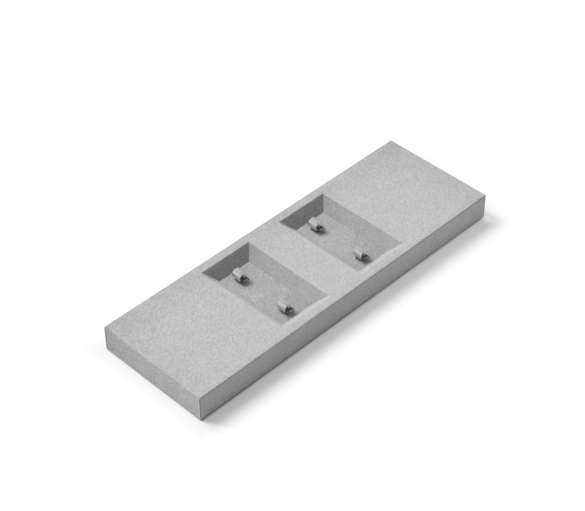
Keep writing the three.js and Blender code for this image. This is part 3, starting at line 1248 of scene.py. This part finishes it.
@dataclass
class ClipScrew(ClipPiece):
    """The round-headed screw that holds a clip down, with a crossed recess."""

    shank_radius: float = 0.8 * MM
    head_height: float = 1.0 * MM
    point: float = 2.0 * MM
    recess_length: float = 1.6 * MM
    recess_width: float = 0.36 * MM
    recess_depth: float = 0.6 * MM
    recess_taper: Triple = (0.6, 0.7, 1.0)
    crown_steps: int = 7

    def recess(self, x: float, y: float, top: float) -> BMesh:
        """Makes the tapered cross that is pressed into the head.

        Args:
            x: The screw's place along X.
            y: Its place along Y.
            top: The level of the head's crown.

        Returns:
            The mesh to cut with.
        """
        bm = bmesh.new()
        slot = (self.recess_length, self.recess_width, 2 * self.recess_depth)
        for turn in (0.0, math.pi / 2):
            verts = bmesh.ops.create_cube(bm, size=1.0)["verts"]
            bmesh.ops.scale(bm, vec=slot, verts=verts)
            bmesh.ops.scale(bm, vec=self.recess_taper, verts=[v for v in verts if v.co.z < 0])
            bmesh.ops.rotate(bm, cent=(0.0, 0.0, 0.0), matrix=Matrix.Rotation(turn, 3, "Z"), verts=verts)
            bmesh.ops.translate(bm, vec=(x, y, top), verts=verts)
        return bm

    def build(self) -> None:
        """Builds and dresses the screw."""
        low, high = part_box(self.screw)
        x, y = (low.x + high.x) / 2, (low.y + high.y) / 2
        seat, head = high.z - self.head_height, (high.x - low.x) / 2
        turns = [math.pi / 2 * step / self.crown_steps for step in range(self.crown_steps)]
        crown = [(head * math.cos(turn), seat + self.head_height * math.sin(turn)) for turn in turns]
        shank = [(0.0, low.z), (self.shank_radius, low.z + self.point), (self.shank_radius, seat)]
        profile = [*shank, *crown, (0.0, high.z)]
        bm = bmesh.new()
        line = [bm.verts.new((radius, 0.0, z)) for radius, z in profile]
        edges = [bm.edges.new(pair) for pair in zip(line, line[1:])]
        bmesh.ops.spin(
            bm, geom=[*line, *edges], cent=(0.0, 0.0, 0.0), axis=(0.0, 0.0, 1.0), angle=2 * math.pi,
            steps=ROUND_STEPS, use_merge=True,
        )
        bmesh.ops.remove_doubles(bm, verts=bm.verts[:], dist=TOUCHING)
        bmesh.ops.recalc_face_normals(bm, faces=bm.faces[:])
        bmesh.ops.translate(bm, vec=(x, y, 0.0), verts=bm.verts[:])
        bm = self.cut(bm, self.recess(x, y, high.z))
        self.piece(bm, self.screw, self.finish, Slot.PLAIN_STEEL)


@dataclass
class Core(SubAssembly):
    """The boards and cards under the cloth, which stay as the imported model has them."""

    boards: tuple[str, ...] = (
        "base_board", "back_rail", "front_rail",
        "right_platform_block", "left_platform_block", "bridge_block",
    )
    cards: tuple[str, ...] = ("left_floor_card", "right_floor_card")
    board: PressedBoard = PressedBoard(
        "fibre_board", (0.24, 0.16, 0.09), (0.50, 0.36, 0.22),
        Pattern(1.2 * MM, 4.0, (4.0, 3.0, 1.0), rough=0.6), Pattern(14.4 * MM),
    )
    card: PressedBoard = PressedBoard(
        "grey_card", (0.20, 0.19, 0.17), (0.34, 0.33, 0.30),
        Pattern(0.7 * MM, 4.0, (4.0, 3.0, 1.0), rough=0.6), Pattern(8.4 * MM),
    )

    def build(self) -> None:
        """Gives each board and card its finish."""
        kinds = (self.boards, self.board, Slot.BOARD), (self.cards, self.card, Slot.CARD)
        for names, finish, slot in kinds:
            material = finish.material()
            for name in names:
                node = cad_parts[name]
                node.data.materials.clear()
                node.data.materials.append(material)
                LOG.info("%s: kept, as %s", name, material.name)


@dataclass
class Studio:
    """The table, the lights and the camera."""

    azimuth: float = -45.37
    elevation: float = 41.82
    distance: float = 1186.1 * MM
    pan: float = -8.30 * MM
    rise: float = 18.17 * MM
    image_width: float = 585.0
    focal_pixels: float = 1596.3
    sensor: float = 36.0
    sight: Band = (0.01, 50.0)
    table_half: float = 4.0
    key_from: Triple = (-0.15, 0.55, 0.82)
    key_strength: float = 4.0
    key_angle: float = 28.0
    room_from: Triple = (-0.7, 0.5, 0.35)
    room_band: Band = (-0.2, 0.9)
    room_dim: float = 0.13
    room_lit: float = 0.85
    cards: tuple[tuple[Triple, float], ...] = (((0.72, 0.52, 0.38), 3.4), ((0.5, -0.62, 0.45), 6.0))
    card_distance: float = 1.2
    card_size: float = 1.5

    def camera(self) -> None:
        """Sets the camera where the photograph was taken from."""
        turn, tilt = math.radians(self.azimuth), math.radians(self.elevation)
        back = Vector((math.sin(turn) * math.cos(tilt), -math.cos(turn) * math.cos(tilt), math.sin(tilt)))
        right = Vector((math.cos(turn), math.sin(turn), 0.0))
        up = back.cross(right)
        data = bpy.data.cameras.new("camera")
        data.sensor_width = self.sensor
        data.lens = self.sensor * self.focal_pixels / self.image_width
        data.clip_start, data.clip_end = self.sight
        made = stand("camera", data)
        place = back * self.distance + right * self.pan + up * self.rise
        made.matrix_world = Matrix.Translation(place) @ Matrix((right, up, back)).transposed().to_4x4()
        bpy.context.scene.camera = made

    def table(self) -> None:
        """Lays the pale table under the tray."""
        bm = bmesh.new()
        bmesh.ops.create_grid(bm, x_segments=1, y_segments=1, size=self.table_half)
        mesh = bpy.data.meshes.new("table")
        bm.to_mesh(mesh)
        bm.free()
        mesh.materials.append(LightTable().material())
        made = stand("table", mesh)

    def lamp(self, name: str, kind: str, strength: float, towards: Triple) -> Object:
        """Hangs a light that shines on the tray.

        Args:
            name: Its name.
            kind: Its type.
            strength: Its power.
            towards: The way from the tray to the light.

        Returns:
            The light.
        """
        data = bpy.data.lights.new(name, kind)
        data.energy = strength
        made = stand(name, data)
        made.rotation_mode = "QUATERNION"
        made.rotation_quaternion = Vector(towards).to_track_quat("Z", "Y")
        return made

    def lights(self) -> None:
        """Hangs the soft key light and the dim room round it."""
        sun = self.lamp("key", "SUN", self.key_strength, self.key_from)
        sun.data.angle = math.radians(self.key_angle)
        sun.visible_glossy = False
        world = bpy.data.worlds.new("room")
        world.use_nodes = True
        bpy.context.scene.world = world
        bench = Bench(world.node_tree)
        x, y, z = bench.axes(bench.add("ShaderNodeTexCoord", {}, {}).outputs["Generated"])
        along, across, up = self.room_from
        lit = (x * along + y * across + z * up).ease(self.room_band)
        glow = bench.tint(lit, grey(self.room_dim), grey(self.room_lit))
        shader = bench.add("ShaderNodeBackground", {}, {"Color": glow})
        bench.add("ShaderNodeOutputWorld", {}, {"Surface": shader.outputs[0]})

    def hang_cards(self) -> None:
        """Hangs the pale cards that the bright metal mirrors, and that light nothing else."""
        for place, strength in self.cards:
            card = self.lamp("card", "AREA", strength, place)
            card.data.size = self.card_size
            card.location = Vector(place).normalized() * self.card_distance
            card.visible_diffuse = False
            card.visible_camera = False

    def build(self) -> None:
        """Sets up the whole studio."""
        self.table()
        self.lights()
        self.hang_cards()
        self.camera()
        bpy.context.scene.view_settings.view_transform = "Standard"
        LOG.info("studio: table, lights and camera")


def main() -> None:
    """Builds the studio, then the tray's sub-assemblies from the core outwards."""
    logging.basicConfig(level=logging.INFO, format="%(name)s: %(message)s")
    Studio().build()
    Core().build()
    UndersideSheet().build()
    Cover().build()
    cloth = LaidMicrofibre().material()
    bright = PolishedSteel(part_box("left_front_ring_clip")[0].z).material()
    satin = SatinSteel().material()
    for side in Side:
        FloorCover(side, cloth).build()
        for place in Place:
            RingClip(side, place, bright).build()
            ClipScrew(side, place, satin).build()


if __name__ == "__main__":
    main()
